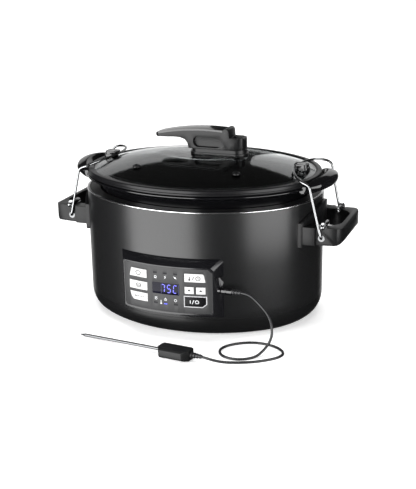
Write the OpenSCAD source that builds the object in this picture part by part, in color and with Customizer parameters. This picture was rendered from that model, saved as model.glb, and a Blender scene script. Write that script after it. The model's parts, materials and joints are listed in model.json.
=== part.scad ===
// Oval slow cooker with a clip-down glass lid, a lift-out pot and a food probe.
// Millimetres. The origin is on the table under the centre of the body.
// +X is to the user's right, -Y is the front with the control panel, +Z is up.

/* [Body] */
// Half of the oval body's length, along X
half_len = 172; // [160:1:180]
// Half of the oval body's depth, along Y
half_dep = 140; // [134:1:142]
// Radius of the oval's two ends
end_r = 124; // [118:1:128]
// Height of the bright rim above the table
rim_z = 177; // [176:0.5:178]
// Height at which the metal shell meets the black base
base_top = 28.8; // [27:0.2:31]
// Thickness of the shell's sheet metal
shell_wall = 1.2; // [0.8:0.1:1.6]
// Height of the rubber feet below the bottom cover
foot_h = 3; // [2.5:0.5:3.5]

/* [Lid] */
// Thickness of the lid's glass
glass_t = 4; // [3:0.5:5]
// Rise of the glass dome above its edge
dome_rise = 21.5; // [18:0.5:23]

/* [Handles] */
// Half of a side handle's width, along Y
arm_out = 59.5; // [59:0.5:61]
// How far the side handles reach from the centre
handle_tip = 217; // [214:1:220]
// Diameter of the lid latches' spring wire
wire_d = 3.4; // [3:0.1:3.4]

/* [Control panel] */
// How far the panel's face stands out from the shell
face_out = 12; // [11:0.5:13]
// Travel of the push buttons
button_travel = 1; // [0.6:0.1:1]

/* [Probe] */
// Diameter of the food probe's cord
cord_d = 3.4; // [3:0.2:3.4]
// Diameter of the probe's steel needle
needle_d = 4; // [3:0.5:5]

/* [Hidden] */

round_fn = 96;          // steps in a full turn of a large curved surface
pin_fn = 32;            // steps in a full turn of a pin, bore or screw
gap = 0.3;              // clearance between bodies that move apart

// The body is a four-arc oval: two ends of end_r and two long sides of side_r.
end_c = half_len - end_r;
side_r = (half_len * half_len - 2 * half_len * end_r + half_dep * half_dep)
    / (2 * (half_dep - end_r));
side_c = side_r - half_dep;
arc_gap = side_r - end_r;
join_x = end_c + 300 * end_c / arc_gap;     // a far point on the line where two arcs join
join_y = 300 * side_c / arc_gap;

// The room of one end arc and of one side arc. They meet face to face.
module end_room() {
    translate([0, 0, -10]) linear_extrude(320)
        polygon([[end_c, 0], [join_x, -join_y], [400, -join_y], [400, join_y], [join_x, join_y]]);
}
module side_room() {
    translate([0, 0, -10]) linear_extrude(320)
        polygon([[-end_c, 0], [end_c, 0], [join_x, join_y], [-join_x, join_y]]);
}

// Sweeps a section round the oval. In the section, x is the distance outwards
// from the oval and y is the height.
module around() {
    union() for (s = [0, 180]) rotate([0, 0, s]) {
        intersection() {
            translate([end_c, 0, 0]) rotate([0, 0, 180]) rotate_extrude($fn = round_fn)
                translate([end_r, 0]) children();
            end_room();
        }
        intersection() {
            translate([0, -side_c, 0]) rotate_extrude($fn = round_fn * 2)
                translate([side_r, 0]) children();
            side_room();
        }
    }
}

// A solid oval plate whose edge is out from the body's oval.
module oval_plate(out, h) {
    union() for (s = [0, 180]) rotate([0, 0, s]) {
        intersection() {
            translate([end_c, 0, 0]) rotate([0, 0, 180])
                cylinder(r = end_r + out, h = h, $fn = round_fn);
            end_room();
        }
        intersection() {
            translate([0, -side_c, 0]) cylinder(r = side_r + out, h = h, $fn = round_fn * 2);
            side_room();
        }
    }
}

module mirrored_x() { children(); mirror([1, 0, 0]) children(); }
module mirrored_y() { children(); mirror([0, 1, 0]) children(); }

// A cylinder that runs along Y from y0 to y1.
module rod_y(r, y0, y1) {
    translate([0, y0, 0]) rotate([-90, 0, 0]) cylinder(r = r, h = y1 - y0, $fn = pin_fn);
}

// A cylinder that runs along X from x0 to x1.
module rod_x(r, x0, x1) {
    translate([x0, 0, 0]) rotate([0, 90, 0]) cylinder(r = r, h = x1 - x0, $fn = pin_fn);
}

// A flat outline with round corners: its box and its corner radius.
module round_box(x0, y0, x1, y1, r) {
    translate([x0 + r, y0]) square([x1 - x0 - 2 * r, y1 - y0]);
    translate([x0, y0 + r]) square([x1 - x0, y1 - y0 - 2 * r]);
    for (x = [x0 + r, x1 - r], y = [y0 + r, y1 - r])
        translate([x, y]) circle(r = r, $fn = pin_fn);
}

// Turns an outline drawn in x and z into a slab between y0 and y1.
module slab_y(y0, y1) {
    translate([0, y1, 0]) rotate([90, 0, 0]) linear_extrude(y1 - y0) children();
}

// ---- Tubes swept along a route ----
function unit(v) = v / norm(v);
function heading(p, i) = unit(p[min(i + 1, len(p) - 1)] - p[max(i - 1, 0)]);
function side_of(t, s) = unit(s - (s * t) * t);
function sides(p, i, s) = i == len(p) ? [] :
    let (n = side_of(heading(p, i), s)) concat([n], sides(p, i + 1, n));
function soften(p, n) = [for (i = [0 : len(p) - 2]) for (k = [0 : n - 1])
    let (t = k / n, a = p[max(i - 1, 0)], b = p[i], c = p[i + 1],
        d = p[min(i + 2, len(p) - 1)])
        0.5 * (2 * b + (c - a) * t + (2 * a - 5 * b + 4 * c - d) * t * t
            + (3 * b - a - 3 * c + d) * t * t * t), p[len(p) - 1]];
module tube(p, d, n = 8, start = [0, 1, 0.2]) {
    u = sides(p, 0, start);
    rings = [for (i = [0 : len(p) - 1]) for (k = [0 : n - 1])
        let (t = heading(p, i), v = cross(t, u[i]), a = 360 * k / n)
            p[i] + d / 2 * (cos(a) * u[i] + sin(a) * v)];
    walls = [for (i = [0 : len(p) - 2]) for (k = [0 : n - 1])
        [i * n + k, (i + 1) * n + k, (i + 1) * n + (k + 1) % n, i * n + (k + 1) % n]];
    last = (len(p) - 1) * n;
    polyhedron(rings, concat(walls, [[for (k = [0 : n - 1]) k]],
        [[for (k = [n - 1 : -1 : 0]) last + k]]));
}

// ---- Base ----
base_in = 18;           // how far the base draws in towards the table
tray_wall = 2.6;
lip_h = 5;              // lip of the tray inside the shell
foot_pos = [100, 62];
screw_turn = 28;        // where the cover's screws sit on the end arcs
screw_in = 27;

module base_tray() {
    deep = base_top - foot_h + 1;
    color([0.05, 0.05, 0.055]) difference() {
        around() polygon(concat(
            [for (u = [0 : 10 : 80]) [-base_in * (1 - cos(u)), base_top - deep * sin(u)]],
            [[-base_in, foot_h - 1], [-base_in, foot_h + 2], [-36, foot_h + 2],
                [-36, foot_h + 4.6], [-base_in, foot_h + 4.6]],
            [for (u = [60 : -10 : 0]) [-tray_wall - (base_in - 2) * (1 - cos(u)),
                base_top - (deep - 4) * sin(u)]],
            [[-shell_wall - 2, base_top + lip_h], [-shell_wall - 0.1, base_top + lip_h],
                [-shell_wall - 0.1, base_top]]));
        for_cover_screws() cylinder(r = 1.65, h = 20, $fn = pin_fn);
    }
}

module for_cover_screws() {
    for (sx = [-1, 1], sy = [-1, 1])
        translate([sx * (end_c + (end_r - screw_in) * cos(screw_turn)),
            sy * (end_r - screw_in) * sin(screw_turn), 0]) children();
}

module for_feet() {
    for (sx = [-1, 1], sy = [-1, 1])
        translate([sx * foot_pos[0], sy * foot_pos[1], 0]) children();
}

module bottom_cover() {
    color([0.30, 0.31, 0.32]) difference() {
        translate([0, 0, foot_h]) oval_plate(-base_in - 0.4, 2);
        for_cover_screws() cylinder(r = 1.8, h = 20, $fn = pin_fn);
        for_feet() cylinder(r = 4, h = 20, $fn = pin_fn);
        for (x = [-40 : 20 : 40], s = [-1, 1])
            translate([x - 2, s * 35 - 12, 0]) cube([4, 24, 20]);
    }
}

module rubber_feet() {
    color([0.09, 0.09, 0.09]) for_feet() {
        cylinder(r1 = 8.6, r2 = 9.6, h = foot_h, $fn = 48);
        translate([0, 0, foot_h - 0.1]) cylinder(r = 3.95, h = 2.3, $fn = pin_fn);
        translate([0, 0, foot_h + 2]) cylinder(r1 = 5.4, r2 = 4.2, h = 1.4, $fn = pin_fn);
    }
}

module bottom_cover_screws() {
    color([0.62, 0.62, 0.64]) for_cover_screws() {
        translate([0, 0, foot_h - 1.8]) cylinder(r = 3.6, h = 1.8, $fn = pin_fn);
        translate([0, 0, foot_h - 0.1]) cylinder(r = 1.6, h = 9, $fn = pin_fn);
    }
}

// ---- Shell, rim and heated well ----
window_w = 63;          // half of the opening behind the control panel
window_z = [41, 99];
pivot = [187.3, 57.7, 132.3];   // where a latch leg turns in its handle arm
handle_screw_y = 50;
handle_screw_z = 135;
gland_z = 46;
well_top = rim_z - 0.8;
well_floor = 58;
well_t = 1.2;
function well_out(z) = -24 + 7 * (z - 62) / 114;    // outside of the well's wall

module for_handle_screws() {
    for (s = [0, 180], y = [-1, 1]) rotate([0, 0, s])
        translate([0, y * handle_screw_y, handle_screw_z]) children();
}

module outer_shell() {
    color([0.16, 0.165, 0.175]) difference() {
        around() translate([-shell_wall, base_top + 0.05])
            square([shell_wall, well_top - base_top - 0.05]);
        translate([-window_w, -170, window_z[0]])
            cube([2 * window_w, 80, window_z[1] - window_z[0]]);
        for_handle_screws() rod_x(2.3, 120, 200);
        translate([0, 0, gland_z]) rod_y(7.1, 120, 160);
        translate(jack) rod_x(4.3, -8, 8);
    }
}

module rim_trim_ring() {
    color([0.86, 0.87, 0.88]) around() polygon([
        [-2.8, well_top], [0.3, well_top], [0.8, well_top + 0.5], [0.9, rim_z],
        [0.6, rim_z + 0.9], [-0.1, rim_z + 1.3], [-2.8, rim_z + 1.3]]);
}

module heating_well() {
    color([0.55, 0.56, 0.58]) difference() {
        union() {
            around() polygon([
                [-3, well_top], [-3, well_top + well_t], [-18, well_top + well_t],
                [well_out(62) - well_t, 62.4], [-28, well_floor + well_t],
                [-40, well_floor + well_t], [-40, well_floor], [-27.4, well_floor],
                [well_out(62), 61.6], [well_out(well_top), well_top]]);
            translate([0, 0, well_floor]) oval_plate(-39.9, well_t);
        }
        cylinder(r = 9, h = 100, $fn = pin_fn);
    }
}

module heating_band() {
    z0 = 74;
    z1 = 112;
    t = 1.8;
    color([0.72, 0.66, 0.52]) around() polygon([
        [well_out(z0) + 0.1, z0], [well_out(z1) + 0.1, z1], [well_out(z1) + t, z1],
        [well_out(z0) + t, z0]]);
}

module insulation_blanket() {
    z0 = 64;
    z1 = 166;
    color([0.80, 0.80, 0.76]) around() polygon([
        [well_out(z0) + 2.3, z0], [well_out(z1) + 2.3, z1],
        [well_out(z1) + 6.3, z1], [well_out(z0) + 6.3, z0]]);
}

// ---- Sensor, fuse and power parts under the well ----
strap_z = 40;
module temperature_sensor() {
    color([0.70, 0.71, 0.72]) {
        translate([0, 0, 52]) cylinder(r = 8.4, h = 7.3, $fn = pin_fn);
        translate([0, 0, strap_z + 3]) cylinder(r = 3, h = 9.2, $fn = pin_fn);
    }
}

module sensor_spring() {
    coils = 3.5;
    low = strap_z + 2.6;
    high = 51.2;
    route = [for (a = [0 : 30 : 360 * coils])
        [6 * cos(a), 6 * sin(a), low + (high - low) * a / (360 * coils)]];
    color([0.75, 0.76, 0.78]) tube(route, 1.2, 6, [0, 0, 1]);
}

module sensor_bracket() {
    color([0.66, 0.67, 0.69]) difference() {
        union() {
            translate([-26, -8, strap_z]) cube([52, 16, 1.6]);
            for (s = [-1, 1]) translate([s * 25.2 - 0.8, -8, strap_z])
                cube([1.6, 16, well_floor - strap_z]);
        }
        translate([0, 0, strap_z - 1]) cylinder(r = 3.4, h = 4, $fn = pin_fn);
    }
}

module thermal_fuse() {
    color([0.78, 0.72, 0.60]) translate([60, 0, 0]) {
        translate([0, 0, 54.4]) rod_x(2.6, -9, 9);
        translate([-3, -7, 57]) cube([6, 14, 1]);
    }
}

module power_board() {
    color([0.10, 0.32, 0.18]) translate([-65, 20, 12]) cube([90, 62, 1.6]);
    color([0.15, 0.15, 0.30]) translate([-55, 34, 13.6]) cube([26, 22, 18]);
    color([0.12, 0.12, 0.14]) translate([-10, 34, 13.6]) cube([28, 13, 16]);
    color([0.20, 0.20, 0.50]) translate([-12, 66, 13.6]) cylinder(r = 6, h = 18, $fn = pin_fn);
    color([0.75, 0.75, 0.75]) for (x = [-61, 21], y = [24, 78])
        translate([x, y, 5]) cylinder(r = 2.6, h = 7, $fn = pin_fn);
}

module terminal_block() {
    color([0.85, 0.84, 0.78]) difference() {
        translate([-15, 86, 5]) cube([30, 14, 14]);
        for (x = [-9, 0, 9]) translate([x, 93, 12]) cylinder(r = 2.2, h = 20, $fn = pin_fn);
    }
}

module cord_gland() {
    tip = half_dep + face_out + lens_out;
    color([0.06, 0.06, 0.06]) translate([0, 0, gland_z]) difference() {
        union() {
            rod_y(7, half_dep - 3, half_dep + 2);
            rod_y(10.5, half_dep + 0.2, half_dep + 3);
            rod_y(9, half_dep - 5, half_dep - 1.6);
            translate([0, half_dep + 3, 0]) rotate([-90, 0, 0])
                cylinder(r1 = 7.5, r2 = 5.5, h = tip - half_dep - 3, $fn = pin_fn);
        }
        rod_y(4.8, half_dep - 10, half_dep + 1);
        rod_y(3.6, half_dep + 0.5, tip + 5);
    }
}

// ---- Side handles, their flanges and the latch pivots ----
flange_t = 5;
arm_in = 41;            // half of the finger gap's width
arm_low = 122.4;
arm_top = 147;
grip_wall = 9;          // wall at the handle's outer end
pocket = [179, 194];    // pocket in an arm's outer face, for the latch leg
pocket_y = 55.4;
detent = [189, 148.6];         // x and z of the pins that hold a latch shut

// Outer edge of the handle in plan: a corner, then a slight bow across the end.
arm_edge = [[120, -arm_out], [196, -arm_out], [203, -58.3], [209, -55], [213.2, -50],
    [215.6, -43], [handle_tip - 0.4, -32], [handle_tip + 0.9, -18], [handle_tip + 1.4, 0]];
arm_edge_back = [for (i = [len(arm_edge) - 2 : -1 : 0]) [arm_edge[i][0], -arm_edge[i][1]]];

module handle_plan() {
    difference() {
        polygon(concat(arm_edge, arm_edge_back));
        round_box(100, -arm_in, handle_tip - grip_wall, arm_in, 22);
        for (s = [-1, 1]) translate([pocket[0], s > 0 ? pocket_y : -pocket_y - 20])
            square([60, 20]);
    }
}

module handle_right() {
    color([0.075, 0.078, 0.082]) difference() {
        intersection() {
            translate([0, 0, arm_low - 5]) linear_extrude(arm_top - arm_low + 5) handle_plan();
            slab_y(-80, 80) polygon([[120, arm_low], [186, arm_low], [206, 123.4],
                [212, 125.4], [216, 129], [handle_tip + 1.4, 133], [handle_tip + 1.4, 142.5],
                [217, 145], [214, arm_top], [120, arm_top]]);
        }
        oval_bore(flange_t + 0.05, arm_low - 6, arm_top - arm_low + 12);
        for (s = [-1, 1]) {
            translate([0, s * handle_screw_y, handle_screw_z]) rod_x(1.6, 120, 182);
            translate([pivot[0], 0, pivot[2]]) rod_y(4.6, min(s * 45, s * 70), max(s * 45, s * 70));
            translate([detent[0], 0, detent[1]]) rod_y(3.7, min(s * 30, s * 52), max(s * 30, s * 52));
            translate([detent[0], 0, detent[1]]) rod_y(5.1, min(s * 51, s * 70), max(s * 51, s * 70));
        }
    }
}

// The room taken by the body's oval and what is wrapped round it.
module oval_bore(out, z, h) { translate([0, 0, z]) oval_plate(out, h); }

module handle_left() { mirror([1, 0, 0]) handle_right(); }

module flange_outline() {
    polygon([[-61, 118], [-58, 115], [58, 115], [61, 118], [61, 152], [41, 161],
        [15, 168], [11, 169], [-11, 169], [-15, 168], [-41, 161], [-61, 152]]);
}

module handle_flanges() {
    color([0.10, 0.103, 0.11]) difference() {
        intersection() {
            around() translate([0, 110]) square([flange_t, 64]);
            rotate([90, 0, 90]) translate([0, 0, -200]) linear_extrude(400) flange_outline();
        }
        for_handle_screws() rod_x(2.3, 120, 200);
    }
}

module handle_screws() {
    head = end_c + sqrt(pow(end_r - shell_wall, 2) - pow(handle_screw_y, 2)) - 3.6;
    color([0.62, 0.62, 0.64]) for_handle_screws() {
        rod_x(4, head - 2.4, head);
        rod_x(1.55, head - 0.1, 181);
    }
}

module detent_pins() {
    color([0.88, 0.89, 0.90]) mirrored_x() mirrored_y() translate([detent[0], 0, detent[1]]) {
        rod_y(3.6, 30.5, 50.8);
        rod_y(4.9, 51.2, 52.8);
        rod_y(2, 50, 58);
        translate([0, 58.2, 0]) sphere(r = 3.3, $fn = pin_fn);
    }
}

module latch_bushes() {
    color([0.30, 0.31, 0.32]) mirrored_x() mirrored_y() translate([pivot[0], 0, pivot[2]])
        difference() {
            rod_y(4.5, 45.2, pocket_y + 0.3);
            rod_y(wire_d / 2 + 0.05, 40, 70);
        }
}

// Half-hooks of spring wire: up from the front pivot, in over the lid hook and back down.
latch_route = [
    [187.3, -57.7, 132.3], [179.2, -57.7, 165], [171.4, -57.7, 197.5], [170, -57.6, 202],
    [166.5, -56.6, 204.8], [158, -55, 208], [150, -47, 211.2], [142, -32, 213.8],
    [137.2, -15, 214.8], [136, 0, 215], [136.5, 18, 215], [139, 33, 215], [145, 46, 214.8],
    [153.5, 55, 214.2], [163, 59, 212.6], [170, 59.2, 209.4], [173, 58, 204],
    [174.2, 57.7, 197], [180.2, 57.7, 165], [187.3, 57.7, 132.3]
];

module wire_latch_right() {
    route = soften(latch_route, 2);
    color([0.80, 0.81, 0.82]) {
        tube(route, wire_d);
        mirrored_y() translate([pivot[0], 0, pivot[2]]) {
            rod_y(wire_d / 2, 46, pivot[1]);
            translate([0, pivot[1], 0]) sphere(r = wire_d / 2 + 0.2, $fn = pin_fn);
        }
    }
}

module wire_latch_left() { mirror([1, 0, 0]) wire_latch_right(); }

// ---- Control panel on the front of the shell ----
lens_out = 0.2;
bezel_z = [32, 37.5, 105.3, 114.3];     // bottom on the shell and face, top on the face and shell
fascia = [-63.4, 40.8, 63.4, 103.4];    // outline of the fascia: x0, z0, x1, z1
fascia_t = 2;
board_y = -130;
jack = [67, -132.5, 72];

// A section swept round the front face: x is the distance out from the shell.
module front_band() {
    translate([0, side_c, 0]) rotate([0, 0, -90 - 26])
        rotate_extrude(angle = 52, $fn = round_fn * 2) translate([side_r, 0]) children();
}

// A piece of the curved front between two distances out, cut to an outline in x and z.
module face_piece(o0, o1) {
    intersection() {
        front_band() translate([o0, 20]) square([o1 - o0, 110]);
        slab_y(-190, -100) children();
    }
}

module fascia_outline() {
    polygon([[fascia[0], fascia[3] - 1.4], [fascia[0] + 1.4, fascia[3]], [fascia[2] - 5.5, fascia[3]],
        [fascia[2], fascia[3] - 5.5], [fascia[2], fascia[1] + 3], [fascia[2] - 3, fascia[1]],
        [fascia[0] + 4, fascia[1]], [fascia[0] + 1.2, fascia[1] + 1.2], [fascia[0], fascia[1] + 4]]);
}

module panel_bezel() {
    slope = [[-77, -120], [-54.5, -162], [54.5, -162], [77, -120]];
    color([0.03, 0.03, 0.033]) difference() {
        intersection() {
            front_band() polygon([[0.05, bezel_z[0]], [face_out, bezel_z[1]],
                [face_out, bezel_z[2]], [0.05, bezel_z[3]]]);
            linear_extrude(200) polygon(slope);
        }
        face_piece(face_out - fascia_t - 0.1, face_out + 5) offset(delta = 0.1) fascia_outline();
        difference() {
            translate([-60, -170, 42.6]) cube([120, 80, 56.9]);
            for_board_screws() rod_y(3.6, -137, board_y - 0.02);
        }
        for_board_screws() rod_y(1.3, -136, board_y + 1);
        translate(jack) rod_x(4.05, -20, 20);
        translate([76.4, -135.3, 92]) rotate([0, 165, -28]) cylinder(r = 11, h = 40, $fn = pin_fn);
        translate([68.6, -133.1, 108.8]) rotate([0, 62, -44]) translate([-30, -30, 0]) cube(60);
    }
}

module for_board_screws() {
    for (x = [-57.4, 57.4], z = [45, 95]) translate([x, 0, z]) children();
}

// Outlines of the buttons and windows, in x and z.
module cook_outline() { polygon([[-55, 84.6], [-52, 96.6], [-27.2, 96.6], [-27.2, 84.6]]); }
module warm_outline() { translate([-55.2, 66.8]) square([28.6, 12.2]); }
module probe_outline() { polygon([[-55, 63], [-26.6, 63], [-26.6, 51], [-49, 51], [-53, 55]]); }
module timer_outline() {
    polygon([[27, 85.4], [27, 97.4], [50.6, 97.4], [52.4, 96.6], [53.4, 95], [55.2, 85.4]]);
}
module down_outline() { translate([27, 68.8]) square([12.6, 10]); }
module up_outline() { translate([42.4, 68.8]) square([12.6, 10]); }
module power_outline() { polygon([[27, 51], [27, 64.6], [55.4, 64.6], [55.4, 55], [50.6, 51]]); }
module lens_outline() { round_box(-19.2, 65.4, 19.8, 81.2, 1.2); }
module window_outlines() {
    for (x = [-14.6, 0, 14.6]) {
        translate([x - 2.7, 93.7]) square([5.4, 2.4]);
        translate([x - 2.7, 50.7]) square([5.4, 2.4]);
    }
}

module panel_fascia() {
    color([0.20, 0.205, 0.21]) face_piece(face_out - fascia_t, face_out) difference() {
        fascia_outline();
        cook_outline();
        warm_outline();
        probe_outline();
        timer_outline();
        down_outline();
        up_outline();
        offset(delta = 1.3) power_outline();
        lens_outline();
        window_outlines();
    }
}

module display_lens() {
    color([0.02, 0.02, 0.03]) face_piece(face_out - fascia_t, face_out + lens_out)
        offset(delta = -0.05) lens_outline();
}

module display_module() {
    color([0.12, 0.12, 0.13]) translate([-17, -148.6, 66.4]) cube([34, 6, 13.8]);
    color([0.80, 0.80, 0.80]) for (x = [-15, 15])
        translate([x, 0, 73]) rod_y(0.6, -142.7, board_y - 0.05);
}

module status_windows() {
    color([0.75, 0.82, 0.90]) face_piece(face_out - fascia_t - 1.5, face_out + 0.05)
        offset(delta = -0.05) window_outlines();
}

module power_button_rim() {
    color([0.82, 0.83, 0.84]) face_piece(face_out - fascia_t, face_out + 0.15) difference() {
        offset(delta = 1.25) power_outline();
        power_outline();
    }
}

// A push button: cap, retaining collar and the stem that reaches its switch.
module push_button(x, z) {
    union() {
        face_piece(6.5, face_out + 0.4) offset(delta = -gap) children();
        face_piece(7.2, 9.2) offset(delta = 0.6) children();
        translate([x, 0, z]) rod_y(1.8, -(half_dep + 5.5), stem_end);
    }
}
stem_end = board_y - 4.6 - button_travel;

module button_cook() { color([0.90, 0.90, 0.89]) push_button(-40, 90.6) cook_outline(); }
module button_warm() { color([0.90, 0.90, 0.89]) push_button(-40, 73) warm_outline(); }
module button_probe() { color([0.90, 0.90, 0.89]) push_button(-40, 57) probe_outline(); }
module button_timer() { color([0.90, 0.90, 0.89]) push_button(40, 91) timer_outline(); }
module button_down() { color([0.90, 0.90, 0.89]) push_button(33.3, 73.8) down_outline(); }
module button_up() { color([0.90, 0.90, 0.89]) push_button(48.7, 73.8) up_outline(); }
module button_power() { color([0.04, 0.04, 0.045]) push_button(40, 58) power_outline(); }

button_pos = [[-40, 90.6], [-40, 73], [-40, 57], [40, 91], [33.3, 73.8], [48.7, 73.8], [40, 58]];

module control_board() {
    color([0.10, 0.32, 0.18]) difference() {
        translate([-60.5, board_y, 42]) cube([121, 1.6, 56]);
        for_board_screws() rod_y(1.7, -140, -110);
    }
}

module board_screws() {
    color([0.62, 0.62, 0.64]) for_board_screws() {
        rod_y(3, board_y + 1.6, board_y + 3.2);
        rod_y(1.25, -135.5, board_y + 1.7);
    }
}

module tact_switches() {
    color([0.15, 0.15, 0.16]) for (p = button_pos) {
        translate([p[0] - 3, board_y - 3.5, p[1] - 3]) cube([6, 3.5, 6]);
        translate([p[0], 0, p[1]]) rod_y(1.7, board_y - 4.3, board_y - 3.4);
    }
}

module probe_jack() {
    color([0.60, 0.61, 0.63]) translate(jack) difference() {
        rod_x(4, -6, 4.6);
        rod_x(1.8, -4, 10);
    }
}

// ---- Lift-out pot ----
pot_floor = 59.5;
cove_z = 178.6;
rim_top = 198;

module cooking_pot() {
    color([0.035, 0.035, 0.04]) union() {
        around() polygon(concat(
            [[-50, pot_floor], [-33, pot_floor], [-29.5, pot_floor + 1.6], [-27.6, 67]],
            [for (u = [0 : 15 : 90]) [-0.5 - 19.5 * cos(u), cove_z + 17.4 * sin(u)]],
            [[-0.1, rim_top - 1.3], [-1, rim_top], [-12.2, rim_top], [-13.2, rim_top - 0.8],
                [-13.6, 193.6], [-24, 192.6], [-25.2, 190],
                [-32, 74], [-34, 69], [-38, 66], [-50, 66]]));
        translate([0, 0, pot_floor]) oval_plate(-49.9, 66 - pot_floor);
        mirrored_x() pot_ear();
    }
}

// A wing at the end of the rim, to lift the pot by.
module pot_ear() {
    intersection() {
        slab_y(-70, 70) polygon([[150, 190], [160, 186], [175, 186], [181, 188.4],
            [190, 194.5], [193.6, 199], [193.8, 204.6], [191, 207.6], [181, 210.8],
            [177, 210], [175, 204.5], [173.8, 198], [150, 198]]);
        linear_extrude(300) polygon(concat([[140, -64]],
            [for (a = [-90 : 10 : 90]) [162 + 32 * cos(a), 52 * sin(a)]], [[140, 64]]));
        rotate([90, 0, 90]) linear_extrude(300)
            polygon(concat([[-66, 180]], [[-66, 195]],
                [for (a = [180 : -10 : 0]) [54 * cos(a), 196.5 + 14.5 * sin(a)]],
                [[66, 195]], [[66, 180]]));
        difference() {
            translate([0, 0, 180]) oval_plate(60, 50);
            translate([0, 0, 170]) oval_plate(-6, 70);
            translate([0, 0, rim_top]) oval_plate(-1.8, 70);
        }
    }
}

// ---- Lid ----
band_low = 198.7;
glass_edge = 205;
dome_flat = 105;        // how far in from the oval the dome turns flat
hook_x = 146;
vent_pos = [73, 71];
port_x = 52;            // where the probe goes in through the lid handle
function dome(d) = glass_edge + dome_rise * (1 - pow(1 - min(max(d - 10, 0), 112) / 112, 1.6));

module glass_section(rise) {
    polygon(concat(
        [[-5.2, glass_edge - 0.2]],
        [for (d = [10 : 8 : dome_flat - 7]) [-d, dome(d) - 0.2]],
        [[-dome_flat, dome(dome_flat) - 0.2], [-dome_flat, dome(dome_flat) - rise - 0.2]],
        [for (d = [dome_flat - 7 : -8 : 10]) [-d, dome(d) - rise - 0.2]],
        [[-5.2, glass_edge - rise - 0.2]]));
}

dome_top = dome(dome_flat) - 0.2;

module glass_lid() {
    color([0.75, 0.80, 0.80, 0.35]) difference() {
        union() {
            around() glass_section(glass_t);
            translate([0, 0, dome_top - glass_t]) oval_plate(-dome_flat + 0.1, glass_t);
        }
        for (x = [0, 34]) translate([x, 0, 200]) cylinder(r = 2.6, h = 60, $fn = pin_fn);
        translate([port_x, 0, 200]) cylinder(r = 5.1, h = 60, $fn = pin_fn);
        for (s = [-1, 1]) {
            translate([s * hook_x, 0, 190]) cylinder(r = 2.1, h = 60, $fn = pin_fn);
            translate([s * vent_pos[0], -vent_pos[1], 190]) cylinder(r = 3.1, h = 60, $fn = pin_fn);
        }
    }
}

module lid_rim_band() {
    color([0.045, 0.045, 0.05]) around() polygon([
        [-2.4, band_low], [-3, glass_edge + 0.2], [-3.6, glass_edge + 1], [-4.6, glass_edge + 1.5],
        [-9.6, glass_edge + 1.6], [-10.6, glass_edge + 1], [-10.6, glass_edge + 0.4],
        [-5.1, glass_edge + 0.1], [-5.1, glass_edge - glass_t - 0.3],
        [-14, glass_edge - glass_t - 0.5], [-14, band_low]]);
}

module lid_seal() {
    color([0.08, 0.08, 0.085]) around() polygon([
        [-14.2, band_low], [-14.2, dome(14.2) - glass_t - 0.3], [-20, dome(20) - glass_t - 0.3],
        [-21.5, dome(20) - glass_t - 0.6], [-21.5, 195], [-20.5, 194], [-15.6, 194],
        [-14.3, 195.3]]);
}

module lid_hooks() {
    top = 219.6;
    color([0.035, 0.035, 0.04]) mirrored_x() difference() {
        union() {
            translate([0, 0, 200]) linear_extrude(top - 200 - 4.6) hook_plan(138.3, 154, 9.5);
            translate([0, 0, top - 2.4]) linear_extrude(2.4) hook_plan(134.4, 153, 8.5);
            translate([0, 0, 200]) linear_extrude(top - 201.5) hook_plan(140.5, 153, 8.5);
        }
        under_glass();
        translate([hook_x, 0, 190]) cylinder(r = 2.05, h = 40, $fn = pin_fn);
        translate([hook_x, 0, top - 1.2]) cylinder(r = 4.6, h = 5, $fn = pin_fn);
    }
}

module hook_plan(x0, x1, hw) { round_box(x0, -hw, x1, hw, 4); }

// Everything below the dome's outer surface, for pieces that sit on the glass.
module under_glass() {
    around() glass_section(20);
    around() translate([-12, 180]) square([11, glass_edge + 1.9 - 180]);
}

module hook_rivets() {
    color([0.85, 0.86, 0.87]) mirrored_x() translate([hook_x, 0, 0]) {
        translate([0, 0, 218.4]) cylinder(r = 4.5, h = 1.1, $fn = pin_fn);
        translate([0, 0, 203.4]) cylinder(r = 2, h = 15.1, $fn = pin_fn);
        translate([0, 0, 202.6]) cylinder(r = 4.4, h = 1, $fn = pin_fn);
    }
}

module steam_vents() {
    z = dome(53) - 0.2;
    color([0.70, 0.71, 0.73]) for (s = [-1, 1]) translate([s * vent_pos[0], -vent_pos[1], 0])
        difference() {
            union() {
                translate([0, 0, z + 1]) cylinder(r1 = 5.6, r2 = 4.6, h = 1.1, $fn = pin_fn);
                translate([0, 0, z - 6.6]) cylinder(r = 3, h = 8, $fn = pin_fn);
            }
            translate([0, 0, z - 10]) cylinder(r = 1.7, h = 20, $fn = pin_fn);
        }
}

// ---- Lid handle: base, grip with a lever, gloss top, screws and probe port ----
base_x = [-19, 66];
base_hw = 16;
grip_low = 234;
grip_top = 264;
notch_z = 251;

module lid_handle_base() {
    color([0.11, 0.112, 0.118]) difference() {
        union() {
            translate([0, 0, dome_top]) linear_extrude(4)
                round_box(base_x[0], -base_hw, base_x[1], base_hw, 15.9);
            translate([0, 0, dome_top + 3.9]) linear_extrude(grip_low - dome_top - 3.95)
                round_box(base_x[0] + 2, -base_hw + 1.6, base_x[1] - 2, base_hw - 1.6, 14.3);
        }
        for (x = [0, 34]) translate([x, 0, 200]) cylinder(r = 2.4, h = 60, $fn = pin_fn);
        translate([port_x, 0, 200]) cylinder(r = 5.1, h = 60, $fn = pin_fn);
    }
}

module lever_side() {
    polygon(concat(
        [[63.4, grip_low], [63.4, 248], [62, 250], [60, notch_z], [43, notch_z]],
        [for (a = [0 : 15 : 105]) [37.5 + 5 * cos(a), 258.4 + 5.2 * sin(a)]],
        [[33, 261.6]],
        [for (x = [20 : -12 : -64]) [x, lever_top(x)]],
        [[-69.4, 252.9], [-70.9, 250.4], [-70, 248.2], [-67.2, 247.1],
            [-40, 248.6], [-31, 248.4], [-23.9, 246], [-20, 241.5], [-18, grip_low]]));
}
function lever_top(x) = 262.5 - 0.0015 * pow(x - 8, 2);

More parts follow.
